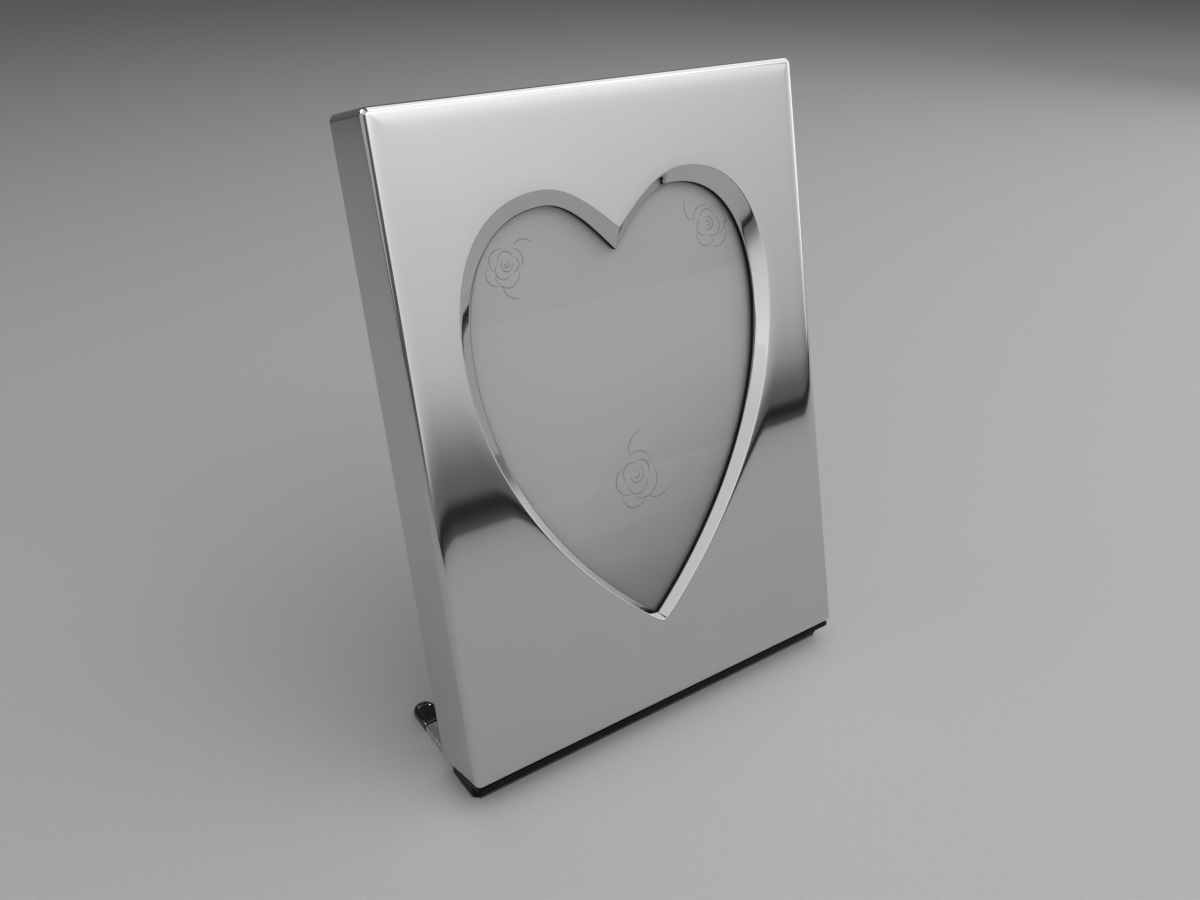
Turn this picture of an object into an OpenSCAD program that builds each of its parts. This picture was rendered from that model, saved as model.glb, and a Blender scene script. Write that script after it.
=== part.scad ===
// Standing photo frame: a deep polished metal body with a heart opening that leans back on a black
// base block and two legs that swing out behind it. The origin is on the floor, under the middle of
// the base block and on the line through both leg pivots; +Z is up and the heart faces -Y.

/* [Body] */
// Width of the metal body
body_w = 165; // [150:1:200]
// Height of the metal body, along its face
body_h = 217.5; // [205:0.5:250]
// Depth of the metal body, from the face to the rear edge
body_d = 24.5; // [24:0.5:32]
// Angle the body leans back from upright
lean = 15; // [10:1:18]
// Thickness of the pressed sheet
sheet_t = 1; // [0.8:0.1:1.2]
// Outside radius of the front edges and the four corners
edge_r = 2.5; // [2:0.1:3.5]

/* [Heart opening] */
// Width across the widest part of the opening
heart_w = 126; // [100:1:128]
// Height from the tip to the top of the lobes
heart_h = 155.5; // [120:0.5:158]
// Height of the tip above the bottom of the body
heart_tip_z = 31.2; // [28:0.2:34]
// How far the cleft drops below the top of the lobes
cleft_drop = 16; // [10:0.5:24]
// Width of the sloped border of the opening
bevel_w = 4.8; // [3:0.1:6]
// Depth of the sloped border
bevel_d = 3.6; // [2.5:0.1:4.2]
// How far the sloped border lifts the tip
tip_lift = 2.1; // [1.5:0.1:4]

/* [Picture] */
// Width of the glass and of everything behind it
picture_w = 127; // [127:1:130]
// Height of the glass and of everything behind it
picture_h = 178; // [176:1:182]
// Play left for the picture pack in the wooden carcass
picture_play = 1; // [0.6:0.1:1.4]
// Thickness of the black gasket between the heart border and the glass
gasket_t = 1.5; // [1:0.1:1.6]
// Width of the gasket
gasket_w = 3; // [2:0.1:3.4]
// Thickness of the glass
glass_t = 2; // [1.8:0.1:2.2]
// Thickness of the printed insert
insert_t = 0.4; // [0.3:0.1:0.5]
// Thickness of the backing card
backing_t = 1.5; // [1:0.1:2]

/* [Back] */
// Depth from the face to the back of the wooden carcass
carcass_d = 19; // [18:0.5:20]
// Thickness of the back panel
panel_t = 3; // [2.5:0.5:4]
// Thickness of the velvet on the back
velvet_t = 0.6; // [0.4:0.1:0.8]

/* [Turn buttons] */
// Width of a turn button
button_w = 8; // [7:0.5:9]
// Distance from the pivot of a turn button to the centre of its round end
button_reach = 10.5; // [10:0.5:12]
// Thickness of a turn button
button_t = 1.2; // [1:0.1:1.4]
// Height of the side turn buttons above and below the middle of the body
button_spread = 50; // [35:1:60]
// Diameter of the screws that the turn buttons swing on
button_screw_d = 2.8; // [2.4:0.1:3.2]
// Length of those screws in the wood
button_screw_l = 9; // [7:0.5:11]
// Gap round a screw or rivet that a piece turns on
running_gap = 0.05; // [0.03:0.01:0.08]

/* [Base block] */
// Height of the rear bottom edge of the body above the floor
body_lift = 3.1; // [3.1:0.1:4]
// Depth of the base block, front to rear
block_d = 14.4; // [13:0.2:15]
// Distance from the rear of the base block to the rear bottom edge of the body
block_rear_gap = 4; // [3.6:0.1:5]
// Distance from each end of the base block to the side of the body
block_inset = 1.3; // [1:0.1:3]
// Radius of the front corners of the base block
block_corner_r = 2.4; // [1:0.2:2.4]
// Thickness of the felt under the base block
felt_t = 1; // [0.8:0.1:1]
// Distance from the middle to each screw that holds the base block
base_screw_x = 22; // [18:1:26]
// Diameter of those screws
base_screw_d = 3.2; // [2.8:0.1:3.6]

/* [Legs] */
// Width of a leg
leg_w = 8.2; // [7:0.2:8.4]
// Thickness of a leg
leg_t = 1.4; // [1.2:0.1:1.4]
// Distance from a leg pivot to the centre of the round end
leg_reach = 38.4; // [34:0.2:40]
// Length of leg covered by the black tip, up to the centre of the round end
tip_cover = 8.2; // [7:0.1:12]
// Thickness of a leg tip
tip_t = 2.7; // [2.6:0.1:2.7]
// Height of the underside of a leg above the floor
leg_lift = 0.9; // [0.8:0.05:0.9]
// Diameter of the rivet that a leg swings on
rivet_d = 3; // [2.6:0.1:3.4]

/* [Hidden] */
// Steps along each curve of the heart outline
curve_steps = 14;
// Overlap that makes a cut go right through
cut = 0.05;
// Thickness of the slabs that the heart plugs are stretched between
slab_t = 0.3;
// Inside corner radius right behind the face
step_r = 0.4;
// Fineness of round parts
$fn = 48;

// Shape of the heart, as shares of its half width or of its height
lobe_share = 0.45;
lobe_in_share = 0.18;
lobe_out_share = 0.366;
cleft_out_share = 0.125;
cleft_up_share = 0.42;
side_share = 0.707;
side_up_share = 0.175;
side_down_share = 0.28;
tip_out_share = 0.525;
tip_up_share = 0.168;
// How much further the cleft and the tip move than the sides of a parallel outline
cleft_slide = 1.41;
tip_slide = 1.29;

// Inside of the metal body and the opening of the wooden carcass
inner_x = body_w / 2 - sheet_t;
inner_top = body_h - sheet_t;
pack_x = picture_w / 2 + picture_play / 2;
pack_bottom = (body_h - picture_h - picture_play) / 2;
pack_top = pack_bottom + picture_h + picture_play;
rail_side_w = inner_x - pack_x;
rail_end_w = pack_bottom - sheet_t;
corner_cut = 0.6 * (edge_r - sheet_t);

// Depths of the pack behind the heart border
gasket_y = bevel_d;
glass_y = gasket_y + gasket_t;
insert_y = glass_y + glass_t;
backing_y = insert_y + insert_t;
pad_y = backing_y + backing_t;
panel_y = carcass_d - panel_t;
back_y = carcass_d + velvet_t;

// Turn buttons
button_washer_t = 0.4;
button_washer_r = 3.4;
button_axial_gap = 0.05;
button_y = back_y + button_washer_t;
button_head_y = button_y + button_t + button_axial_gap;
button_head_r = 3.1;
button_head_t = 1.4;
button_side_x = pack_x + rail_side_w / 2;
button_end_z = sheet_t + rail_end_w / 2;

// Base block and legs
rear_edge_y = block_d / 2 + block_rear_gap;
block_x = body_w / 2 - block_inset;
stop_wall = 1.45;
stop_gap = 0.15;
tip_r = leg_w / 2 + 0.15;
neck_w = leg_w - 2;
leg_x = block_x - stop_wall - stop_gap - leg_w / 2;
pocket_gap = 0.6;
pocket_front = leg_w / 2 + pocket_gap;
pocket_end = leg_x - leg_reach - tip_r - pocket_gap;
pocket_roof = body_lift;
leg_top = leg_lift + leg_t;
washer_r = 3.6;
rivet_head_r = 3.4;
rivet_head_t = 0.7;
rivet_axial_gap = 0.05;
rivet_roof = 0.6;
base_screw_y = body_d - block_rear_gap - block_d / 2 + 0.6;
base_screw_seat = 2.2;
base_screw_head_r = 3.1;
base_screw_head_t = 1.6;
base_screw_bite = 12;

// Height of the underside of the leaning body above a point on the floor
function under_body(y) = body_lift + (rear_edge_y - y) * tan(lean);

// Cubic curve through two ends with two guide points
function curve_point(a, b, c, d, t) =
  pow(1 - t, 3) * a + 3 * pow(1 - t, 2) * t * b + 3 * (1 - t) * t * t * c + t * t * t * d;
function curve(a, b, c, d) =
  [for (i = [0 : curve_steps - 1]) curve_point(a, b, c, d, i / curve_steps)];

// Right half of the heart; k runs from 0 at the face to 1 at the rear of the border, grow widens it
function heart_half(k, grow) =
  let (
    in = k * bevel_w - grow,
    half = heart_w / 2 - in,
    top = heart_tip_z + heart_h - in,
    cleft = heart_tip_z + heart_h - cleft_drop - cleft_slide * in,
    tip = heart_tip_z + tip_lift * k - tip_slide * grow,
    tall = top - tip,
    lobe = lobe_share * half,
    side = tip + side_share * tall
  )
  concat(
    curve(
      [0, cleft],
      [cleft_out_share * half, cleft + cleft_up_share * (top - cleft)],
      [lobe - lobe_in_share * half, top],
      [lobe, top]
    ),
    curve(
      [lobe, top],
      [lobe + lobe_out_share * half, top],
      [half, side + side_up_share * tall],
      [half, side]
    ),
    curve(
      [half, side],
      [half, side - side_down_share * tall],
      [tip_out_share * half, tip + tip_up_share * tall],
      [0, tip]
    ),
    [[0, tip]]
  );

// Places the leaning body: children are drawn upright, face at y = 0 and bottom at z = 0
module on_body() {
  translate([0, rear_edge_y, body_lift])
    rotate([-lean, 0, 0])
      translate([0, -body_d, 0])
        children();
}

// Turns a flat outline in x and z into a plate from y0 to y1
module plate(y0, y1) {
  translate([0, y1, 0])
    rotate([90, 0, 0])
      linear_extrude(height = y1 - y0)
        children();
}

// A rod along y
module rod(x, z, y0, y1, r) {
  translate([x, y0, z])
    rotate([-90, 0, 0])
      cylinder(r = r, h = y1 - y0);
}

// The whole heart as one closed outline
function heart_outline(k, grow) =
  let (right = heart_half(k, grow))
  concat(right, [for (i = [len(right) - 2 : -1 : 1]) [-right[i][0], right[i][1]]]);

// Solid heart plug that narrows with depth; k0 and k1 are its ends as shares of the border's depth
module heart_plug(k0, k1, grow) {
  for (side = [0, 1])
    mirror([side, 0, 0])
      hull() {
        plate(k0 * bevel_d - slab_t, k0 * bevel_d)
          polygon(heart_half(k0, grow));
        plate(k1 * bevel_d - slab_t, k1 * bevel_d)
          polygon(heart_half(k1, grow));
      }
}

// Rectangle with round corners, from -x to x and from z0 to z1
module soft_rect(x, z0, z1, r) {
  translate([-x + r, z0])
    square([2 * (x - r), z1 - z0]);
  translate([-x, z0 + r])
    square([2 * x, z1 - z0 - 2 * r]);
  for (cx = [-x + r, x - r])
    for (cz = [z0 + r, z1 - r])
      translate([cx, cz])
        circle(r = r);
}

// Side profile of the body: depth along the first axis, round front corners, from z0 to z1
module front_soft(z0, z1) {
  translate([edge_r, z0])
    square([body_d, z1 - z0]);
  translate([0, z0 + edge_r])
    square([body_d, z1 - z0 - 2 * edge_r]);
  for (cz = [z0 + edge_r, z1 - edge_r])
    translate([edge_r, cz])
      circle(r = edge_r);
}

// Outside of the body, with round front edges and corners and cut square at the rear
module body_outside() {
  intersection() {
    plate(0, body_d)
      soft_rect(body_w / 2, 0, body_h, edge_r);
    translate([-body_w / 2 - cut, 0, 0])
      rotate([90, 0, 90])
        linear_extrude(height = body_w + 2 * cut)
          front_soft(0, body_h);
    translate([0, 0, -cut])
      linear_extrude(height = body_h + 2 * cut)
        rotate([0, 0, -90])
          mirror([1, 0, 0])
            front_soft(-body_w / 2, body_w / 2);
  }
}

// Inside of the body: stepped at the front, so that the sheet keeps its thickness round the edges
module body_inside() {
  plate(sheet_t, edge_r + cut)
    soft_rect(body_w / 2 - edge_r, edge_r, body_h - edge_r, step_r);
  plate(edge_r, body_d + cut)
    soft_rect(inner_x, sheet_t, inner_top, edge_r - sheet_t);
}

module shell() {
  color([0.83, 0.84, 0.85])
    on_body()
      difference() {
        union() {
          difference() {
            body_outside();
            body_inside();
          }
          heart_plug(sheet_t / (2 * bevel_d), 1, sheet_t);
        }
        heart_plug(-cut, 1 + cut, 0);
        for (i = [-1, 1])
          translate([i * base_screw_x, base_screw_y, -cut])
            cylinder(d = base_screw_d + 0.2, h = sheet_t + 2 * cut);
      }
}

module glass_gasket() {
  color([0.03, 0.03, 0.03])
    on_body()
      plate(gasket_y, glass_y)
        difference() {
          polygon(heart_outline(1, gasket_w));
          polygon(heart_outline(1, 0));
        }
}

// One sheet of the picture pack, standing on the bottom rail
module pack_sheet(y0, y1) {
  translate([-picture_w / 2, y0, pack_bottom])
    cube([picture_w, y1 - y0, picture_h]);
}

module glass_pane() {
  color([0.86, 0.92, 0.92, 0.35])
    on_body()
      pack_sheet(glass_y, insert_y);
}

module photo_insert() {
  color([0.6, 0.6, 0.6])
    on_body()
      pack_sheet(insert_y, backing_y);
}

module backing_card() {
  color([0.55, 0.5, 0.42])
    on_body()
      pack_sheet(backing_y, pad_y);
}

module packing_pad() {
  color([0.66, 0.52, 0.36])
    on_body()
      pack_sheet(pad_y, panel_y);
}

// Outline of an upright or a level rail: mitred at both ends, outer corners cut to clear the shell
function mitre(x, z, dx, dz) =
  let (a = x - dx, b = abs(z - dz), sign_z = z > dz ? 1 : -1)
  [x - corner_cut * a / (a + b), z - sign_z * corner_cut * b / (a + b)];

module rail_end(z_out, z_in) {
  outer = mitre(inner_x, z_out, pack_x, z_in);
  color([0.66, 0.5, 0.33])
    on_body()
      difference() {
        plate(edge_r, carcass_d)
          polygon([
            [-(inner_x - corner_cut), z_out],
            [inner_x - corner_cut, z_out],
            outer,
            [pack_x, z_in],
            [-pack_x, z_in],
            [-outer[0], outer[1]]
          ]);
        rod(0, z_out < z_in ? button_end_z : body_h - button_end_z,
          carcass_d - button_screw_l, carcass_d + cut, button_screw_d / 2);
        if (z_out < z_in)
          for (i = [-1, 1])
            translate([i * base_screw_x, base_screw_y, sheet_t - cut])
              cylinder(d = base_screw_d, h = base_screw_bite - sheet_t + cut);
      }
}

module rail_side(s) {
  top = mitre(inner_x, inner_top, pack_x, pack_top);
  bottom = mitre(inner_x, sheet_t, pack_x, pack_bottom);
  color([0.66, 0.5, 0.33])
    on_body()
      difference() {
        mirror([s < 0 ? 1 : 0, 0, 0])
          plate(edge_r, carcass_d)
            polygon([
              [inner_x, sheet_t + corner_cut],
              [inner_x, inner_top - corner_cut],
              top,
              [pack_x, pack_top],
              [pack_x, pack_bottom],
              bottom
            ]);
        for (z = [-button_spread, button_spread])
          rod(s * button_side_x, body_h / 2 + z,
            carcass_d - button_screw_l, carcass_d + cut, button_screw_d / 2);
      }
}

module velvet_surround() {
  color([0.04, 0.04, 0.045])
    on_body()
      difference() {
        plate(carcass_d, back_y)
          difference() {
            polygon([
              [-(inner_x - corner_cut), sheet_t],
              [inner_x - corner_cut, sheet_t],
              [inner_x, sheet_t + corner_cut],
              [inner_x, inner_top - corner_cut],
              [inner_x - corner_cut, inner_top],
              [-(inner_x - corner_cut), inner_top],
              [-inner_x, inner_top - corner_cut],
              [-inner_x, sheet_t + corner_cut]
            ]);
            translate([-pack_x, pack_bottom])
              square([2 * pack_x, pack_top - pack_bottom]);
          }
        button_places()
          rod(0, 0, carcass_d - cut, back_y + cut, button_screw_d / 2);
      }
}

module back_panel() {
  color([0.5, 0.38, 0.26])
    on_body()
      pack_sheet(panel_y, carcass_d);
}

module panel_velvet() {
  color([0.04, 0.04, 0.045])
    on_body()
      pack_sheet(carcass_d, back_y);
}

// Repeats children at the six turn button pivots
module button_places() {
  for (s = [-1, 1])
    for (z = [-button_spread, button_spread])
      translate([s * button_side_x, 0, body_h / 2 + z])
        children();
  translate([0, 0, button_end_z])
    children();
  translate([0, 0, body_h - button_end_z])
    children();
}

// One turn button at x, z; turn points it at the back panel
module turn_button(x, z, turn) {
  color([0.62, 0.62, 0.63])
    on_body()
      translate([x, 0, z])
        rotate([0, turn, 0])
          difference() {
            union() {
              rod(0, 0, button_y, button_y + button_t, button_w / 2);
              rod(button_reach, 0, button_y, button_y + button_t, button_w / 2);
              translate([0, button_y, -button_w / 2])
                cube([button_reach, button_t, button_w]);
            }
            rod(0, 0, button_y - cut, button_y + button_t + cut, button_screw_d / 2 + running_gap);
          }
}

module turn_button_washers() {
  color([0.7, 0.7, 0.7])
    on_body()
      button_places()
        difference() {
          rod(0, 0, back_y, button_y, button_washer_r);
          rod(0, 0, back_y - cut, button_y + cut, button_screw_d / 2 + running_gap);
        }
}

module turn_button_screws() {
  color([0.75, 0.75, 0.76])
    on_body()
      button_places() {
        rod(0, 0, carcass_d - button_screw_l, button_head_y + cut, button_screw_d / 2);
        rod(0, 0, button_head_y, button_head_y + button_head_t, button_head_r);
      }
}

module base_block() {
  color([0.05, 0.05, 0.05])
    difference() {
      rotate([90, 0, 90])
        linear_extrude(height = 2 * block_x, center = true)
          polygon([
            [-block_d / 2, felt_t],
            [block_d / 2, felt_t],
            [block_d / 2, under_body(block_d / 2)],
            [-block_d / 2, under_body(-block_d / 2)]
          ]);
      for (s = [-1, 1]) {
        // room for the leg to swing in
        translate([s > 0 ? pocket_end : -leg_x - leg_w / 2 - stop_gap, -pocket_front, 0])
          cube([leg_x + leg_w / 2 + stop_gap - pocket_end, block_d, pocket_roof]);
        // rivet
        translate([s * leg_x, 0, 0])
          cylinder(d = rivet_d, h = under_body(0) - rivet_roof);
        // round front corner
        translate([s * (block_x - block_corner_r), -block_d / 2 + block_corner_r, 0])
          difference() {
            translate([s > 0 ? 0 : -2 * block_corner_r, -2 * block_corner_r, 0])
              cube([2 * block_corner_r, 2 * block_corner_r, 2 * under_body(-block_d / 2)]);
            cylinder(r = block_corner_r, h = 2 * under_body(-block_d / 2));
          }
      }
      on_body()
        for (i = [-1, 1])
          translate([i * base_screw_x, base_screw_y, 0]) {
            translate([0, 0, -2 * body_d])
              cylinder(r = base_screw_head_r + 0.3, h = 2 * body_d - base_screw_seat);
            translate([0, 0, -base_screw_seat - cut])
              cylinder(d = base_screw_d + 0.2, h = base_screw_seat + 2 * cut);
          }
    }
}

module base_felt() {
  color([0.06, 0.06, 0.06]) {
    translate([-block_x + block_corner_r, -block_d / 2, 0])
      cube([2 * (block_x - block_corner_r), block_d / 2 - pocket_front, felt_t]);
    translate([-pocket_end, -pocket_front - cut, 0])
      cube([2 * pocket_end, block_d / 2 + pocket_front + cut, felt_t]);
  }
}

module base_screws() {
  color([0.75, 0.75, 0.76])
    on_body()
      for (i = [-1, 1])
        translate([i * base_screw_x, base_screw_y, 0]) {
          translate([0, 0, -base_screw_seat - base_screw_head_t])
            cylinder(r = base_screw_head_r, h = base_screw_head_t);
          translate([0, 0, -base_screw_seat - cut])
            cylinder(d = base_screw_d, h = base_screw_seat + base_screw_bite + cut);
        }
}

module leg(s) {
  color([0.8, 0.8, 0.81])
    translate([s * leg_x, 0, leg_lift])
      difference() {
        union() {
          cylinder(d = leg_w, h = leg_t);
          translate([-leg_w / 2, 0, 0])
            cube([leg_w, leg_reach - tip_cover, leg_t]);
          neck(leg_t);
        }
        translate([0, 0, -cut])
          cylinder(r = rivet_d / 2 + running_gap, h = leg_t + 2 * cut);
      }
}

// The narrow end of a leg that the tip is pushed on to
module neck(h) {
  translate([-neck_w / 2, leg_reach - tip_cover - cut, 0])
    cube([neck_w, tip_cover + cut, h]);
  translate([0, leg_reach, 0])
    cylinder(d = neck_w, h = h);
}

module leg_tip(s) {
  color([0.03, 0.03, 0.03])
    translate([s * leg_x, 0, 0])
      difference() {
        union() {
          translate([-tip_r, leg_reach - tip_cover, 0])
            cube([2 * tip_r, tip_cover, tip_t]);
          translate([0, leg_reach, 0])
            cylinder(r = tip_r, h = tip_t);
        }
        translate([0, 0, leg_lift])
          neck(leg_t);
      }
}

module leg_washers() {
  color([0.7, 0.7, 0.7])
    for (s = [-1, 1])
      translate([s * leg_x, 0, leg_top + rivet_axial_gap])
        difference() {
          cylinder(r = washer_r, h = pocket_roof - leg_top - rivet_axial_gap);
          translate([0, 0, -cut])
            cylinder(d = rivet_d, h = body_lift);
        }
}

module leg_rivets() {
  color([0.75, 0.75, 0.76])
    for (s = [-1, 1])
      translate([s * leg_x, 0, 0]) {
        translate([0, 0, leg_lift - rivet_axial_gap - rivet_head_t])
          cylinder(r = rivet_head_r, h = rivet_head_t);
        translate([0, 0, leg_lift - rivet_axial_gap - cut])
          cylinder(d = rivet_d, h = under_body(0) - rivet_roof - leg_lift + rivet_axial_gap + cut);
      }
}

shell();
glass_gasket();
glass_pane();
photo_insert();
backing_card();
packing_pad();
rail_end(inner_top, pack_top);  // rail_top
rail_end(sheet_t, pack_bottom);  // rail_bottom
rail_side(-1);  // rail_left
rail_side(1);  // rail_right
velvet_surround();
back_panel();
panel_velvet();
turn_button(0, body_h - button_end_z, 90);  // turn_button_top
turn_button(0, button_end_z, -90);  // turn_button_bottom
turn_button(-button_side_x, body_h / 2 + button_spread, 0);  // turn_button_left_upper
turn_button(-button_side_x, body_h / 2 - button_spread, 0);  // turn_button_left_lower
turn_button(button_side_x, body_h / 2 + button_spread, 180);  // turn_button_right_upper
turn_button(button_side_x, body_h / 2 - button_spread, 180);  // turn_button_right_lower
turn_button_washers();
turn_button_screws();
base_block();
base_felt();
base_screws();
leg(-1);  // leg_left
leg(1);  // leg_right
leg_tip(-1);  // leg_tip_left
leg_tip(1);  // leg_tip_right
leg_washers();
leg_rivets();
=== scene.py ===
import math

import bmesh
import bpy
from mathutils import Matrix, Vector


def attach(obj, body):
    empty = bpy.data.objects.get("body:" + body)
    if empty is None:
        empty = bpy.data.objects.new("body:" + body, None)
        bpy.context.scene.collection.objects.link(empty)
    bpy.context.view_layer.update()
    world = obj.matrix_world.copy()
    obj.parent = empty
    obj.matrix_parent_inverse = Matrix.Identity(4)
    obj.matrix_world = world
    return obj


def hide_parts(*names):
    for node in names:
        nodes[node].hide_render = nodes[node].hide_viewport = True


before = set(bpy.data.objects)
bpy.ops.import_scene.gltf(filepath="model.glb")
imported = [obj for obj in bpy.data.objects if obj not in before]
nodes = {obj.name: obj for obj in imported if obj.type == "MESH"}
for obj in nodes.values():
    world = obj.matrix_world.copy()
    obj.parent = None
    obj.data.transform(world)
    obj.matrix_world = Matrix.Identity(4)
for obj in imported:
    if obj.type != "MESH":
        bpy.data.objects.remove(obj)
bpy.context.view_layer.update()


# --- Metal body ---
# One deep-drawn sheet, 1 mm thick and plated to a mirror: a nearly flat face with a heart opening
# and its sloped border, soft round edges, and straight sides with a smoothed edge at the rear.

# Sizes are in millimetres on the upright body: the face is at y = 0 and the bottom at z = 0.
body_w, body_h, body_d = 165.0, 217.5, 24.5
edge_r = 2.5
heart_w, heart_h = 126.0, 155.5
heart_tip = 31.2  # height of its lowest corner
cleft_drop = 16.0  # from the top of the lobes down to the cleft
border_w = 4.8
tip_lift = 2.1  # rise of the lowest corner across the border
lean = math.radians(15)
rear_edge_y, rear_edge_z = 11.2, 3.1  # where the lean puts the rear bottom edge of the body

# Leans the upright body back about its rear bottom edge, and turns millimetres to metres.
stand_up = (
    Matrix.Translation((0, rear_edge_y / 1000, rear_edge_z / 1000))
    @ Matrix.Rotation(-lean, 4, "X")
    @ Matrix.Translation((0, -body_d / 1000, 0))
    @ Matrix.Scale(0.001, 4)
)


def cubic(a, b, c, d, t):
    """A point on the cubic curve with control points a to d."""
    u = 1 - t
    shares = (u**3, 3 * u * u * t, 3 * u * t * t, t**3)
    return tuple(sum(share * p for share, p in zip(shares, axis)) for axis in zip(a, b, c, d))


def heart_ring(inward, steps=36):
    """The heart as a closed ring of x, z points, moved inward from the edge of the face.

    Its curves have their control points at shares of the half width and of the height. The lowest
    corner is a little blunt, and less so further in.
    """
    half = heart_w / 2 - inward
    top = heart_tip + heart_h - inward
    cleft = heart_tip + heart_h - cleft_drop - 1.41 * inward
    blunt = max(0.2, 1.2 - 0.25 * max(inward, 0))
    tip = heart_tip + (tip_lift / border_w if inward > 0 else 1.29) * inward - 0.5 * blunt
    tall = top - tip
    lobe = 0.45 * half
    side = tip + 0.707 * tall
    curves = [
        (
            (0, cleft),
            (0.125 * half, cleft + 0.42 * (top - cleft)),
            (lobe - 0.18 * half, top),
            (lobe, top),
        ),
        ((lobe, top), (lobe + 0.366 * half, top), (half, side + 0.175 * tall), (half, side)),
        ((half, side), (half, side - 0.28 * tall), (0.525 * half, tip + 0.168 * tall), (0, tip)),
    ]
    right = [cubic(*curve, i / steps) for curve in curves[:2] for i in range(steps)]
    for i in range(steps + 1):
        x, z = cubic(*curves[2], math.sin(math.pi * i / (2 * steps)))
        right.append((x if i < steps else 0, z + 0.79 * (math.hypot(x, blunt) - x)))
    return right + [(-x, z) for x, z in right[-2:0:-1]]


def rim_ring(inset, corner):
    """The outline of the body as a closed ring of x, z points, moved in from its sides."""
    points = []
    for cx, cz, turn in ((1, 1, 0), (-1, 1, 90), (-1, -1, 180), (1, -1, 270)):
        x = cx * (body_w / 2 - inset - corner)
        z = body_h / 2 + cz * (body_h / 2 - inset - corner)
        for i in range(9):
            a = math.radians(turn + i * 90 / 8)
            points.append((x + corner * math.cos(a), z + corner * math.sin(a)))
        level = turn in (0, 180)
        run = (body_w if level else body_h) - 2 * (inset + corner)
        steps = 14 if level else 20
        a = math.radians(turn + 90)
        x, z = points[-1]
        for i in range(1, steps):
            points.append((x - run * i / steps * math.sin(a), z + run * i / steps * math.cos(a)))
    return points


def draw_rings(bm, rings):
    """Starts at the first ring and extrudes its edges from ring to ring; returns the end loops."""
    points, depth = rings[0]
    verts = [bm.verts.new((x, depth, z)) for x, z in points]
    edges = [bm.edges.new((verts[i], verts[(i + 1) % len(verts)])) for i in range(len(verts))]
    first = edges
    for points, depth in rings[1:]:
        out = bmesh.ops.extrude_edge_only(bm, edges=edges)["geom"]
        new = {v for v in out if isinstance(v, bmesh.types.BMVert)}
        index_of = {v: i for i, v in enumerate(verts)}
        grown = [None] * len(verts)
        for v in new:
            for e in v.link_edges:
                if e.other_vert(v) in index_of:
                    grown[index_of[e.other_vert(v)]] = v
        for v, (x, z) in zip(grown, points):
            v.co = (x, depth, z)
        verts = grown
        edges = [e for e in out if isinstance(e, bmesh.types.BMEdge) and new.issuperset(e.verts)]
    return first, edges


def as_object(name, mesh, finish):
    """An object at the origin with this mesh and finish."""
    mesh.materials.append(finish.material)
    made = bpy.data.objects.new(name, mesh)
    bpy.context.scene.collection.objects.link(made)
    return made


def to_piece(bm, name, place, finish, smooth=True):
    """Puts a finished mesh in its place, turns its faces outwards and makes it an object."""
    bmesh.ops.transform(bm, matrix=place, verts=bm.verts)
    bmesh.ops.recalc_face_normals(bm, faces=bm.faces)
    for f in bm.faces:
        f.smooth = smooth
    mesh = bpy.data.meshes.new(name)
    bm.to_mesh(mesh)
    bm.free()
    return as_object(name, mesh, finish)


class Finish:
    """A new node material, and short ways to let textures drive its Principled shader.

    The named values are sockets of the shader that are the same all over.
    """

    def __init__(self, name, **even):
        self.material = bpy.data.materials.new(name)
        self.material.use_nodes = True
        self.nodes = self.material.node_tree.nodes
        self.link = self.material.node_tree.links.new
        self.shader = self.nodes["Principled BSDF"]
        for socket, value in even.items():
            self.shader.inputs[socket.replace("_", " ")].default_value = value

    def grain(self, scale, detail, stretch=(1, 1, 1)):
        """A noise on Object coordinates, with its pattern stretched along the axes."""
        place = self.nodes.new("ShaderNodeTexCoord")
        turn = self.nodes.new("ShaderNodeMapping")
        turn.inputs["Scale"].default_value = stretch
        noise = self.nodes.new("ShaderNodeTexNoise")
        noise.inputs["Scale"].default_value = scale
        noise.inputs["Detail"].default_value = detail
        self.link(place.outputs["Object"], turn.inputs["Vector"])
        self.link(turn.outputs["Vector"], noise.inputs["Vector"])
        return noise.outputs["Fac"]

    def spread(self, source, low=0, high=1, low_in=0.3, high_in=0.7):
        """Maps a value to the range from low to high."""
        ranged = self.nodes.new("ShaderNodeMapRange")
        ranged.inputs["From Min"].default_value = low_in
        ranged.inputs["From Max"].default_value = high_in
        ranged.inputs["To Min"].default_value = low
        ranged.inputs["To Max"].default_value = high
        self.link(source, ranged.inputs["Value"])
        return ranged.outputs["Result"]

    def tint(self, source, dark, light):
        """Lets a value mix the base colour from two."""
        mix = self.nodes.new("ShaderNodeMix")
        mix.data_type = "RGBA"
        mix.inputs["A"].default_value = (*dark, 1)
        mix.inputs["B"].default_value = (*light, 1)
        self.link(source, mix.inputs["Factor"])
        self.link(mix.outputs["Result"], self.shader.inputs["Base Color"])

    def roughen(self, source, low, high, low_in=0.3, high_in=0.7):
        """Lets a value set the roughness, from low to high."""
        ranged = self.spread(source, low, high, low_in, high_in)
        self.link(ranged, self.shader.inputs["Roughness"])

    def emboss(self, source, height):
        """Lets a value raise the surface, with its full height in millimetres."""
        bump = self.nodes.new("ShaderNodeBump")
        bump.inputs["Distance"].default_value = height / 1000
        bump.inputs["Strength"].default_value = 1
        self.link(source, bump.inputs["Height"])
        self.link(bump.outputs["Normal"], self.shader.inputs["Normal"])


plate = Finish("mirror_plate", Metallic=1)
haze = plate.grain(22, 3)
wiped = plate.grain(420, 2, (1, 1, 0.06))
plate.tint(plate.spread(haze), (0.607, 0.607, 0.610), (0.622, 0.622, 0.625))
plate.roughen(haze, 0.03, 0.05)
plate.emboss(wiped, 0.0003)


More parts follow.
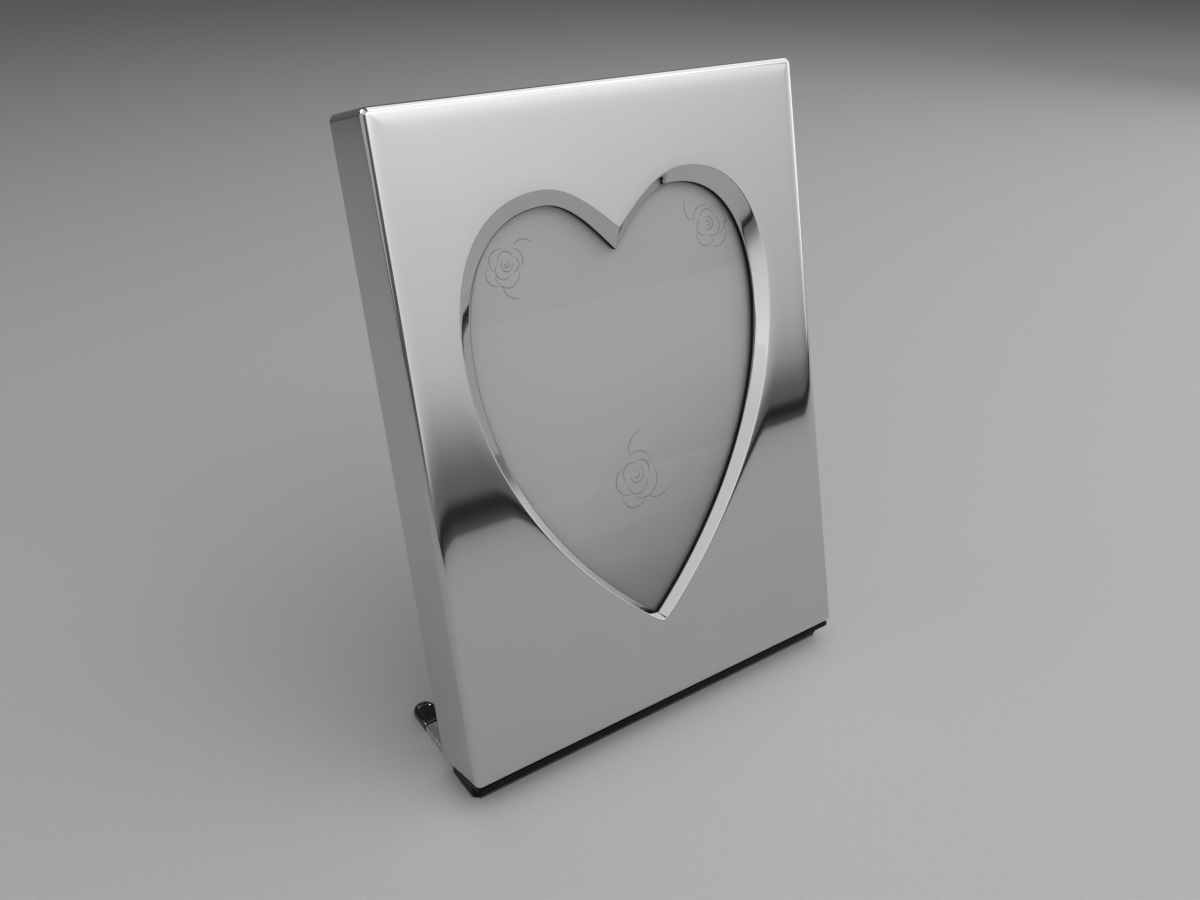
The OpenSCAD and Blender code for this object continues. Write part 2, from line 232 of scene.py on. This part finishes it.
def falling(slope, run, share):
    """Depth of a face that falls ever steeper, up to a slope at the end of its run."""
    return slope * run * share**3 / 3


# The face falls a little towards its outer edges, and from there bends round to the sides.
rim_slope = 0.075
rim_fall_from, rim_fall_to = 8.0, 2.16  # distances in from the sides
bend_r = 2.3
face_rings = []
for i in range(9):
    inset = rim_fall_from - (rim_fall_from - rim_fall_to) * i / 8
    depth = falling(rim_slope, rim_fall_from - rim_fall_to, i / 8)
    face_rings.append((rim_ring(inset, 0.3 + 0.3 * (inset - rim_fall_to)), depth))
for i in range(1, 9):
    a = rim_slope + (math.pi / 2 - rim_slope) * i / 8
    inset = bend_r * (1 - math.sin(a))
    bend_y = depth + bend_r * (math.cos(rim_slope) - math.cos(a))
    face_rings.append((rim_ring(inset, edge_r - inset), bend_y))
sides = [(0, y) for y in (6.0, 12.0, 18.0, 23.6, 24.1)]
rear_edge = [(0.08, 24.32), (0.3, 24.5), (0.7, 24.5), (0.92, 24.32), (1.0, 24.1)]
inner_wall = [(1.0, 18.0), (1.0, 10.0), (1.0, 2.6), (1.12, 1.7), (1.5, 1.2), (2.1, 1.0)]
for inset, depth in sides + rear_edge + inner_wall:
    face_rings.append((rim_ring(inset, edge_r - inset), depth))

# It falls towards the heart as well, then rolls over into the sloped border.
heart_slope = 0.05
heart_fall_from, heart_fall_to = 6.5, 0.4  # distances outside the heart
border_slope = math.atan2(3.0, 4.3)
roll_steps, roll_step = 6, 0.11
heart_rings = []
for i in range(9):
    outward = heart_fall_from - (heart_fall_from - heart_fall_to) * i / 8
    depth = falling(heart_slope, heart_fall_from - heart_fall_to, i / 8)
    heart_rings.append((heart_ring(-outward), depth))
inward = -heart_fall_to
for i in range(roll_steps):
    a = heart_slope + (border_slope - heart_slope) * (i + 0.5) / roll_steps
    inward += roll_step * math.cos(a)
    depth += roll_step * math.sin(a)
    heart_rings.append((heart_ring(inward), depth))
border_run, border_fall = 4.52 - inward, 3.18 - depth
for i in range(1, 7):
    heart_rings.append((heart_ring(inward + border_run * i / 6), depth + border_fall * i / 6))
# Each pair here is a distance inward from the edge of the face, and a depth.
rolled_edge = [(4.63, 3.27), (4.73, 3.38), (4.79, 3.49), (border_w, 3.56), (4.7, 3.6), (4.1, 3.6)]
border_rear = [(3.6, 3.4), (-0.6, 1.2), (-1.2, 1.0)]
for inward, depth in rolled_edge + border_rear:
    heart_rings.append((heart_ring(inward), depth))

bm = bmesh.new()
front_rim, rear_inside = draw_rings(bm, face_rings)
front_heart, rear_heart = draw_rings(bm, heart_rings)
for e in bm.edges:
    in_cleft = all(abs(v.co.x) < 1e-6 and 100 < v.co.z < 200 for v in e.verts)
    if in_cleft and all(0.12 < v.co.y < 3.6 for v in e.verts):
        e.smooth = False  # the border is mitred there
bmesh.ops.triangle_fill(bm, edges=front_rim + front_heart, use_beauty=True, normal=(0, -1, 0))
bmesh.ops.triangle_fill(bm, edges=rear_inside + rear_heart, use_beauty=True, normal=(0, 1, 0))
body = to_piece(bm, "polished_body", stand_up, plate)
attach(body, "frame_body")
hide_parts("shell")


# --- Gasket ---
# A die-cut strip of black foam rubber between the border of the heart and the glass. It shows as
# the dark line inside the border.
rubber = Finish("black_foam_rubber", Specular_IOR_Level=0.15)
cells = rubber.grain(2600, 2)
rubber.tint(cells, (0.008, 0.008, 0.008), (0.022, 0.022, 0.023))
rubber.roughen(cells, 0.55, 0.8)
rubber.emboss(cells, 0.03)

# Distances inward from the edge of the face, and depths.
inner_cut = [(4.95, 3.62), (4.85, 3.68), (4.85, 5.04), (4.95, 5.1)]
outer_cut = [(1.9, 5.1), (1.8, 5.04), (1.8, 3.68), (1.9, 3.62)]
bm = bmesh.new()
first, last = draw_rings(bm, [(heart_ring(inward), y) for inward, y in inner_cut + outer_cut])
bmesh.ops.bridge_loops(bm, edges=first + last)
gasket = to_piece(bm, "gasket_strip", stand_up, rubber)
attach(gasket, "frame_body")
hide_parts("glass_gasket")


# --- Glass ---
# A pane of 2 mm float glass, cut square, behind the gasket. It lets light through to the print.
# For shadows and diffuse light the pane counts as clear, so that the print behind it isn't dark.
pane = Finish("float_glass", Base_Color=(0.97, 0.99, 0.98, 1), Transmission_Weight=1, IOR=1.5)
dust = pane.grain(90, 5)
pane.roughen(dust, 0.0, 0.03, 0.45, 0.8)
path = pane.nodes.new("ShaderNodeLightPath")
either = pane.nodes.new("ShaderNodeMath")
either.operation = "MAXIMUM"
clear = pane.nodes.new("ShaderNodeBsdfTransparent")
clear.inputs["Color"].default_value = (0.955, 0.96, 0.96, 1)
choice = pane.nodes.new("ShaderNodeMixShader")
pane.link(path.outputs["Is Shadow Ray"], either.inputs[0])
pane.link(path.outputs["Is Diffuse Ray"], either.inputs[1])
pane.link(either.outputs[0], choice.inputs["Fac"])
pane.link(pane.shader.outputs["BSDF"], choice.inputs[1])
pane.link(clear.outputs["BSDF"], choice.inputs[2])
pane.link(choice.outputs["Shader"], pane.nodes["Material Output"].inputs["Surface"])


def round_edges(piece, radius, segments=3):
    """Rounds the sharp edges of a piece, to a radius in millimetres."""
    rounding = piece.modifiers.new("edge_rounding", "BEVEL")
    rounding.width = radius / 1000
    rounding.segments = segments
    rounding.limit_method = "ANGLE"
    rounding.angle_limit = math.radians(50)
    return rounding


def softened(node, name, radius, finish, body_name, segments=3):
    """A merged copy of a CAD piece with its sharp edges rounded, which stands for that piece."""
    bm = bmesh.new()
    bm.from_mesh(nodes[node].data)
    bmesh.ops.remove_doubles(bm, verts=bm.verts, dist=1e-6)
    bmesh.ops.dissolve_limit(bm, angle_limit=math.radians(2), verts=bm.verts, edges=bm.edges)
    for f in bm.faces:
        f.smooth = True
    mesh = bpy.data.meshes.new(name)
    bm.to_mesh(mesh)
    bm.free()
    # The normals stored with the CAD mesh don't suit the merged one.
    if "custom_normal" in mesh.attributes:
        mesh.attributes.remove(mesh.attributes["custom_normal"])
    piece = as_object(name, mesh, finish)
    round_edges(piece, radius, segments).harden_normals = True
    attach(piece, body_name)
    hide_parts(node)


softened("glass_pane", "float_pane", 0.15, pane, "frame_body", segments=1)


# --- Print ---
# A grey satin card with three faint line roses, near the lobes and near the tip of the heart. Each
# rose is a generic ornament: a small spiral in a ring of open petals, printed in thin grey lines.
card = Finish("satin_print_card")
cloud = card.grain(9, 2)
fibre = card.grain(1500, 4)
card.tint(card.spread(cloud), (0.393, 0.39, 0.388), (0.423, 0.42, 0.418))
card.roughen(fibre, 0.42, 0.58)
card.emboss(fibre, 0.004)
softened("photo_insert", "printed_card", 0.05, card, "frame_body", segments=1)

ink = Finish("pale_grey_ink", Roughness=0.5)
ink.tint(ink.spread(ink.grain(700, 3)), (0.16, 0.16, 0.16), (0.26, 0.26, 0.26))
ink_y, ink_t = 7.09, 0.02
line_half_w = 0.2


def polar(r, a):
    """The point at radius r and angle a."""
    return r * math.cos(a), r * math.sin(a)


def rose_strokes(centre, turn, size):
    """The strokes of one rose: a spiral in two parts, petals that overlap round it, two leaves."""
    strokes = []
    for first, last in ((2, 21), (23, 36)):
        strokes.append([polar(0.15 * 0.35 * i, 0.35 * i) for i in range(first, last)])
    petals = (
        # start angle, sweep, radius at the ends, radius in the middle
        (0.3, 1.9, 2.5, 3.3),
        (2.5, 2.2, 2.6, 3.7),
        (5.0, 1.5, 2.8, 3.5),
        (1.3, 1.7, 3.9, 5.0),
        (3.3, 2.0, 4.1, 5.5),
        (5.6, 1.3, 4.4, 4.9),
        (2.7, 1.1, 5.4, 6.4),
    )
    for start, sweep, end_r, middle_r in petals:
        shares = [i / 18 for i in range(19)]
        strokes.append([
            polar(end_r + (middle_r - end_r) * math.sin(math.pi * t), start + sweep * t)
            for t in shares
        ])
    for start, bend in ((4.0, 0.6), (0.6, -0.5)):
        shares = [i / 12 for i in range(13)]
        strokes.append([polar(4.8 + 4.2 * t, start + bend * t**2) for t in shares])
    c, s = size * math.cos(turn), size * math.sin(turn)
    return [[(centre[0] + x * c - z * s, centre[1] + x * s + z * c) for x, z in stroke]
            for stroke in strokes]


def print_rose(name, centre, turn, size):
    """A rose in flat ink lines that thin out towards their ends."""
    bm = bmesh.new()
    for stroke in rose_strokes(centre, turn, size):
        left, right = [], []
        for i, (x, z) in enumerate(stroke):
            ax, az = stroke[max(i - 1, 0)]
            bx, bz = stroke[min(i + 1, len(stroke) - 1)]
            wide = line_half_w * (0.35 + 0.65 * math.sin(math.pi * (i + 0.5) / len(stroke)))
            wide /= math.hypot(bx - ax, bz - az)
            left.append((x - (bz - az) * wide, z + (bx - ax) * wide))
            right.append((x + (bz - az) * wide, z - (bx - ax) * wide))
        verts = [bm.verts.new((x, ink_y, z)) for x, z in left + right[::-1]]
        edges = [bm.edges.new((verts[i], verts[(i + 1) % len(verts)])) for i in range(len(verts))]
        filled = bmesh.ops.triangle_fill(bm, edges=edges, use_beauty=True, normal=(0, -1, 0))
        faces = [f for f in filled["geom"] if isinstance(f, bmesh.types.BMFace)]
        top = bmesh.ops.extrude_face_region(bm, geom=faces)["geom"]
        raised = [v for v in top if isinstance(v, bmesh.types.BMVert)]
        bmesh.ops.translate(bm, vec=(0, -ink_t, 0), verts=raised)
    rose = to_piece(bm, name, stand_up, ink, smooth=False)
    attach(rose, "frame_body")


print_rose("rose_print_left", (-40.2, 165.9), 0.4, 1.3)
print_rose("rose_print_right", (42.4, 165.4), 2.2, 1.5)
print_rose("rose_print_lower", (-0.4, 84.8), 1.2, 1.8)


# --- Packing behind the print ---
# A grey board and a pad of brown corrugated board, both cut square, keep the print flat against
# the glass.
board = Finish("grey_board", Roughness=0.9)
pulp = board.grain(900, 6)
board.tint(pulp, (0.30, 0.27, 0.23), (0.55, 0.51, 0.45))
board.emboss(pulp, 0.05)
nodes["backing_card"].data.materials[0] = board.material

kraft = Finish("brown_corrugated_board", Roughness=0.92)
kraft.tint(kraft.grain(700, 6), (0.36, 0.25, 0.15), (0.55, 0.41, 0.27))
place = kraft.nodes.new("ShaderNodeTexCoord")
flute = kraft.nodes.new("ShaderNodeTexWave")
flute.inputs["Scale"].default_value = 60
flute.inputs["Distortion"].default_value = 0.4
kraft.link(place.outputs["Object"], flute.inputs["Vector"])
kraft.emboss(flute.outputs["Fac"], 0.2)
nodes["packing_pad"].data.materials[0] = kraft.material


# --- Wooden carcass ---
# Four planed pine rails, mitred and glued, that fill the body round the picture pack and take the
# screws of the turn buttons and of the base block.
for name, along, rails in (
    ("planed_pine_upright", (1, 1, 0.08), ("rail_left", "rail_right")),
    ("planed_pine_level", (0.08, 1, 1), ("rail_top", "rail_bottom")),
):
    pine = Finish(name)
    rings = pine.spread(pine.grain(35, 4, along), 0, 1, 0.35, 0.65)
    pores = pine.grain(900, 3, along)
    pine.tint(rings, (0.62, 0.44, 0.26), (0.78, 0.62, 0.42))
    pine.roughen(pores, 0.55, 0.75)
    pine.emboss(pores, 0.05)
    for rail in rails:
        nodes[rail].data.materials[0] = pine.material


# --- Back panel and velvet ---
# Hardboard closes the back. Short black velvet is glued over the panel and over the carcass round
# it, with its edges turned soft.
hardboard = Finish("brown_hardboard", Roughness=0.7)
chips = hardboard.grain(1200, 5)
hardboard.tint(chips, (0.20, 0.12, 0.07), (0.34, 0.22, 0.13))
hardboard.emboss(chips, 0.03)
nodes["back_panel"].data.materials[0] = hardboard.material

velvet = Finish(
    "black_velvet",
    Roughness=0.95,
    Specular_IOR_Level=0.1,
    Sheen_Weight=0.7,
    Sheen_Roughness=0.35,
    Sheen_Tint=(0.55, 0.55, 0.6, 1),
)
nap = velvet.grain(28, 3)
pile = velvet.grain(3200, 2)
velvet.tint(velvet.spread(nap), (0.014, 0.014, 0.016), (0.040, 0.040, 0.045))
velvet.emboss(pile, 0.15)
softened("velvet_surround", "velvet_round_panel", 0.25, velvet, "frame_body")
softened("panel_velvet", "velvet_on_panel", 0.25, velvet, "frame_body")


# --- Turn buttons ---
# Six stamped steel buttons, bright zinc, that swing over the back panel to hold it. Each turns on a
# pan head screw with a cross recess, over a washer.
zinc = Finish("bright_zinc", Metallic=1)
spangle = zinc.grain(900, 3)
brushed = zinc.grain(1400, 2, (1, 0.15, 0.15))
zinc.tint(zinc.spread(spangle), (0.50, 0.50, 0.50), (0.66, 0.66, 0.65))
zinc.roughen(spangle, 0.22, 0.38)
zinc.emboss(brushed, 0.01)
for where in ("top", "bottom", "left_upper", "left_lower", "right_upper", "right_lower"):
    button = "turn_button_" + where
    softened(button, "stamped_button_" + where, 0.3, zinc, button)
nodes["turn_button_washers"].data.materials[0] = zinc.material

button_side_x, button_end_z, button_spread = 72.75, 10.125, 50.0
pivots = [(0, body_h - button_end_z), (0, button_end_z)]
for x in (-button_side_x, button_side_x):
    pivots += [(x, body_h / 2 + button_spread), (x, body_h / 2 - button_spread)]

# Half of a screw's outline as radius and depth, from the middle of its head to its point.
head = [(0, 22.65), (0.55, 22.64), (1.3, 22.55), (2.1, 22.35), (2.75, 21.95), (3.05, 21.5)]
under_head = [(3.1, 21.27), (2.9, 21.25)]
shank = [(1.4, 21.25), (1.4, 10.3), (0.9, 10.02), (0, 10.0)]
bm = bmesh.new()
for x, z in pivots:
    profile = [bm.verts.new((r, y, 0)) for r, y in head + under_head + shank]
    edges = [bm.edges.new(pair) for pair in zip(profile, profile[1:])]
    bmesh.ops.spin(
        bm, geom=profile + edges, cent=(0, 0, 0), axis=(0, 1, 0),
        angle=2 * math.pi, steps=32, use_merge=True,
    )
    made = [v for v in bm.verts if not v.tag]
    bmesh.ops.translate(bm, vec=(x, 0, z), verts=made)
    for v in made:
        v.tag = True
bmesh.ops.remove_doubles(bm, verts=bm.verts, dist=0.001)
screws = to_piece(bm, "button_screws", stand_up, zinc)

# Two crossed bars, turned differently on each screw, cut the recess into its head.
bar = (3.2, 1.6, 0.62)  # length, depth, width
bar_y = 22.75
bm = bmesh.new()
for x, z in pivots:
    for turn in (0.6, 0.6 + math.pi / 2):
        made = bmesh.ops.create_cube(bm, size=1)["verts"]
        turned = Matrix.Rotation(turn + x + z, 3, "Y")
        bmesh.ops.scale(bm, vec=bar, verts=made)
        bmesh.ops.rotate(bm, cent=(0, 0, 0), matrix=turned, verts=made)
        bmesh.ops.translate(bm, vec=(x, bar_y, z), verts=made)
recess = to_piece(bm, "cross_recess", stand_up, zinc, smooth=False)
cutting = screws.modifiers.new("cross_recess", "BOOLEAN")
cutting.object = recess
cutting.operation = "DIFFERENCE"
cutting.solver = "EXACT"
cutting.use_self = True
bpy.context.view_layer.update()
cut = screws.evaluated_get(bpy.context.evaluated_depsgraph_get())
cut_mesh = bpy.data.meshes.new_from_object(cut)
screws.modifiers.clear()
screws.data = cut_mesh
bpy.data.objects.remove(recess)
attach(screws, "frame_body")
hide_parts("turn_button_screws")


# --- Base block ---
# A black lacquered block under the body, cut to the lean, with a pocket at each end for a leg. A
# thin lacquered plate closes the joint, two screws hold the block to the bottom rail and felt
# covers its underside. The black of the block and the plate is partly painted shade: it stands
# in for the dark shadowed gap under the raised body.
# Near-black lacquer, partly painted shade: it darkens the gap under the raised body.
lacquer_and_shade = Finish("black_lacquer_and_painted_shade", Specular_IOR_Level=0.1)
ripple = lacquer_and_shade.grain(120, 2)
lacquer_and_shade.tint(lacquer_and_shade.spread(ripple), (0.003, 0.003, 0.003), (0.007, 0.007, 0.007))
lacquer_and_shade.roughen(ripple, 0.12, 0.24)
lacquer_and_shade.emboss(ripple, 0.02)
softened("base_block", "lacquered_block", 0.35, lacquer_and_shade, "frame_body")

# The plate's black edge under the body is partly painted shade as well.
lip_x, lip_front, lip_rear = 81.6, 0.8, 15.0
lip_r = 2.4
lip_top, lip_t = -0.01, 1.45
quarter = [math.pi * i / 16 for i in range(9)]
corner_x, corner_y = lip_x - lip_r, lip_front + lip_r
lip = [(-lip_x, lip_rear)]
lip += [(-corner_x - lip_r * math.cos(a), corner_y - lip_r * math.sin(a)) for a in quarter]
lip += [(corner_x + lip_r * math.sin(a), corner_y - lip_r * math.cos(a)) for a in quarter]
lip += [(lip_x, lip_rear)]
bm = bmesh.new()
top = bm.faces.new([bm.verts.new((x, y, lip_top)) for x, y in lip])
under = bmesh.ops.extrude_face_region(bm, geom=[top])["geom"]
lowered = [v for v in under if isinstance(v, bmesh.types.BMVert)]
bmesh.ops.translate(bm, vec=(0, 0, -lip_t), verts=lowered)
lip_piece = to_piece(bm, "lacquered_lip", stand_up, lacquer_and_shade, smooth=False)
round_edges(lip_piece, 0.3)
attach(lip_piece, "frame_body")

felt = Finish("black_felt", Roughness=1, Sheen_Weight=0.3)
wool = felt.grain(1800, 6)
felt.tint(wool, (0.008, 0.008, 0.009), (0.035, 0.035, 0.038))
felt.emboss(wool, 0.2)
nodes["base_felt"].data.materials[0] = felt.material
nodes["base_screws"].data.materials[0] = zinc.material


# --- Legs ---
# Two flat polished steel straps that swing out behind the body on rivets, each with a glossy black
# moulded tip pushed on its end. The tip has a round raised edge and a dished top.
strap = Finish("polished_strap", Metallic=1)
drawn = strap.grain(600, 3, (1, 0.03, 1))
strap.tint(strap.spread(drawn), (0.58, 0.58, 0.59), (0.70, 0.70, 0.71))
strap.roughen(drawn, 0.1, 0.22)
strap.emboss(drawn, 0.004)
moulded = Finish(
    "gloss_black_moulding", Specular_IOR_Level=0.1, Coat_Weight=1, Coat_Roughness=0.03
)
sink = moulded.grain(150, 2)
moulded.tint(moulded.spread(sink), (0.004, 0.004, 0.004), (0.009, 0.009, 0.010))
moulded.roughen(sink, 0.04, 0.1)
moulded.emboss(sink, 0.02)

leg_pivot_x = 75.5
leg_reach = 38.4  # from the pivot to the centre of the round end
tip_cover = 8.2
tip_half_w = 4.25
bead_r, bead_z = 1.3, 1.4
foot = [(0.25, 0), (0.07, 0.07), (0, 0.25), (0, 0.8)]
bead = [(bead_r * (1 - math.cos(a)), bead_z + bead_r * math.sin(a)) for a in quarter]
dish = [(1.5, 2.68), (1.7, 2.6), (1.9, 2.48), (2.1, 2.4), (2.4, 2.37), (2.9, 2.36)]


def tip_ring(inset):
    """The outline of a tip round the end of its leg as x, -y points, moved inward."""
    r = tip_half_w - inset
    rear = leg_reach - tip_cover + inset
    corner = max(0.15, 0.8 - 0.3 * inset)
    bends = [math.pi * i / 8 for i in range(5)]
    points = []
    for a in bends:
        points.append((-r + corner * (1 - math.cos(a)), rear + corner * (1 - math.sin(a))))
    for a in bends:
        points.append((r - corner * (1 - math.sin(a)), rear + corner * (1 - math.cos(a))))
    for i in range(25):
        x, y = polar(r, math.pi * i / 24)
        points.append((x, leg_reach + y))
    return [(x, -y) for x, y in points]


for side, x in (("left", -leg_pivot_x), ("right", leg_pivot_x)):
    softened("leg_" + side, "strap_" + side, 0.25, strap, "leg_" + side)
    bm = bmesh.new()
    ends = draw_rings(bm, [(tip_ring(inset), height) for inset, height in foot + bead + dish])
    for edges in ends:
        bmesh.ops.triangle_fill(bm, edges=edges, use_beauty=True, normal=(0, 1, 0))
    # The tip is drawn with its height along y, so it is stood on its foot here.
    upright = Matrix.Rotation(math.pi / 2, 4, "X") @ Matrix.Scale(0.001, 4)
    place = Matrix.Translation((x / 1000, 0, 0)) @ upright
    tip = to_piece(bm, "moulded_tip_" + side, place, moulded)
    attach(tip, "leg_" + side)
    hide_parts("leg_tip_" + side)
for name in ("leg_washers", "leg_rivets"):
    nodes[name].data.materials[0] = zinc.material


# --- Studio ---
# A plain pale floor, soft panels round and above the frame that light it and show in its mirror
# face but not in the picture, two soft lamps, and the photograph's camera. Sizes are in metres.
def stage_sheet(name, corners, finish):
    """A four-cornered sheet that is part of the studio."""
    mesh = bpy.data.meshes.new(name)
    mesh.from_pydata(corners, [], [(0, 1, 2, 3)])
    sheet = as_object(name, mesh, finish)
    return sheet


floor_paint = Finish("pale_floor", Roughness=0.7, Specular_IOR_Level=0.1)
floor_paint.tint(floor_paint.grain(500, 6), (0.46, 0.46, 0.465), (0.51, 0.51, 0.515))
stage_sheet("floor", [(-4, -4, 0), (4, -4, 0), (4, 6, 0), (-4, 6, 0)], floor_paint)


def light_panel(name, corners, glow_name, levels, strength, rise=0.0, fade=0.0):
    """A glowing sheet that the camera doesn't see.

    levels are its brightness by height. With a rise they come lower away from the middle, and
    fade dims the glow to the right, per metre.
    """
    middle, most_rise = 0.22, 0.04
    glow = Finish(glow_name)
    glow.nodes.remove(glow.shader)

    def maths(kind, a, b):
        step = glow.nodes.new("ShaderNodeMath")
        step.operation = kind
        for socket, value in zip(step.inputs, (a, b)):
            if isinstance(value, (int, float)):
                socket.default_value = value
            else:
                glow.link(value, socket)
        return step.outputs[0]

    place = glow.nodes.new("ShaderNodeTexCoord")
    split = glow.nodes.new("ShaderNodeSeparateXYZ")
    glow.link(place.outputs["Object"], split.inputs["Vector"])
    x, z = split.outputs["X"], split.outputs["Z"]
    aside = maths("SUBTRACT", x, middle)
    lift = maths("MULTIPLY", z, maths("MULTIPLY", maths("ABSOLUTE", aside, 0), rise))
    height = maths("ADD", z, maths("MINIMUM", lift, most_rise))
    tall = levels[-1][0]
    ramp = glow.nodes.new("ShaderNodeValToRGB")
    stops = ramp.color_ramp.elements
    while len(stops) < len(levels):
        stops.new(0.5)
    for stop, (at, level) in zip(stops, levels):
        stop.position = at / tall
        stop.color = (level, level, level, 1)
    light = glow.nodes.new("ShaderNodeEmission")
    glow.link(glow.spread(height, 0, 1, 0, tall), ramp.inputs["Fac"])
    glow.link(ramp.outputs["Color"], light.inputs["Color"])
    glow.link(maths("SUBTRACT", strength, maths("MULTIPLY", aside, fade)), light.inputs["Strength"])
    glow.link(light.outputs["Emission"], glow.nodes["Material Output"].inputs["Surface"])
    sheet = stage_sheet(name, corners, glow)
    sheet.visible_camera = sheet.visible_shadow = False


front_levels = (
    (0.0, 0.10), (0.018, 0.03), (0.030, 0.03), (0.042, 0.15), (0.068, 0.19), (0.09, 0.28),
    (0.12, 0.45), (0.15, 0.62), (0.18, 0.72), (0.24, 0.79), (0.36, 0.88), (0.46, 0.99),
    (0.56, 1.4), (0.75, 1.7),
)
slanted_levels = ((0, 0.0), (0.2, 0.05), (0.31, 1.2), (0.6, 1.0))
even_levels = ((0.0, 0.03), (0.03, 0.04), (0.06, 1.0), (0.3, 1.0))
light_panel(
    "front_panel",
    [(-0.38, -0.7, 0), (0.96, -0.7, 0), (0.96, -0.7, 1.1), (-0.38, -0.7, 1.1)],
    "front_panel_light", front_levels, 1.0, rise=1.0, fade=0.33,
)
light_panel(
    "right_front_panel",
    [(0.96, -0.7, 0), (1.5, -0.6, 0), (1.5, -0.6, 1.1), (0.96, -0.7, 1.1)],
    "right_front_light", even_levels, -0.73, fade=-1.9,
)
light_panel(
    "right_panel",
    [(1.5, -0.6, 0), (1.5, 0.35, 0), (1.5, 0.35, 0.95), (1.5, -0.6, 0.95)],
    "right_panel_light", even_levels, 1.5,
)
light_panel(
    "top_panel",
    [(1.5, -0.6, 0.95), (1.5, 1.0, 0.95), (0.2, 1.0, 1.7), (0.2, -0.6, 1.7)],
    "top_panel_light", even_levels, 1.3,
)
light_panel(
    "left_panel",
    [(-1.2, -0.35, 0), (-1.2, 1.0, 0), (-1.2, 1.0, 0.7), (-1.2, -0.35, 0.7)],
    "left_panel_light", even_levels, 0.5,
)
light_panel(
    "left_front_panel",
    [(-1.3, -0.7, 1.15), (-0.38, -0.7, 0.25), (-0.38, -0.7, 1.3), (-1.3, -0.7, 1.3)],
    "left_front_light", slanted_levels, 0.8,
)
light_panel(
    "left_top_panel",
    [(-1.3, -1.0, 0.8), (-1.3, 0.6, 0.8), (-0.35, 0.6, 1.45), (-0.35, -1.0, 1.45)],
    "left_top_light", even_levels, 0.8,
)

world = bpy.data.worlds.new("studio_air")
bpy.context.scene.world = world
world.use_nodes = True
air = world.node_tree.nodes["Background"]
air.inputs["Color"].default_value = (0.13, 0.13, 0.133, 1)
air.inputs["Strength"].default_value = 1.0

aim = Vector((0, 0.02, 0.1))
for name, place, size, watts, lights_diffuse in (
    ("soft_key", (0.55, -0.66, 1.25), 1.0, 3.5, True),
    ("sparkle", (-0.6, 0.45, 0.8), 0.36, 10.5, False),
):
    lamp = bpy.data.lights.new(name, "AREA")
    lamp.shape = "SQUARE"
    lamp.size = size
    lamp.energy = watts
    holder = bpy.data.objects.new(name, lamp)
    holder.location = place
    holder.rotation_euler = (aim - holder.location).to_track_quat("-Z", "Y").to_euler()
    holder.visible_camera = False
    holder.visible_diffuse = lights_diffuse
    bpy.context.scene.collection.objects.link(holder)

# The camera was solved from the edges of the body in the photograph.
eye = (-0.20387, -0.22719, 0.27686)
heading, downward = 0.5690988, 0.4784445
sin_h, cos_h = math.sin(heading), math.cos(heading)
sin_d, cos_d = math.sin(downward), math.cos(downward)
right = Vector((cos_h, -sin_h, 0))
up = Vector((sin_h * sin_d, cos_h * sin_d, cos_d))
ahead = Vector((sin_h * cos_d, cos_h * cos_d, -sin_d))
view = bpy.data.cameras.new("photo_camera")
view.sensor_fit = "HORIZONTAL"
view.sensor_width = 36
view.lens = 31.390
view.shift_x = 0.0667
view.shift_y = -0.0301
view.clip_start = 0.01
camera = bpy.data.objects.new("photo_camera", view)
facing = Matrix((right, up, -ahead)).transposed().to_4x4()
camera.matrix_world = Matrix.Translation(eye) @ facing
bpy.context.scene.collection.objects.link(camera)
bpy.context.scene.camera = camera
bpy.context.scene.view_settings.view_transform = "Standard"
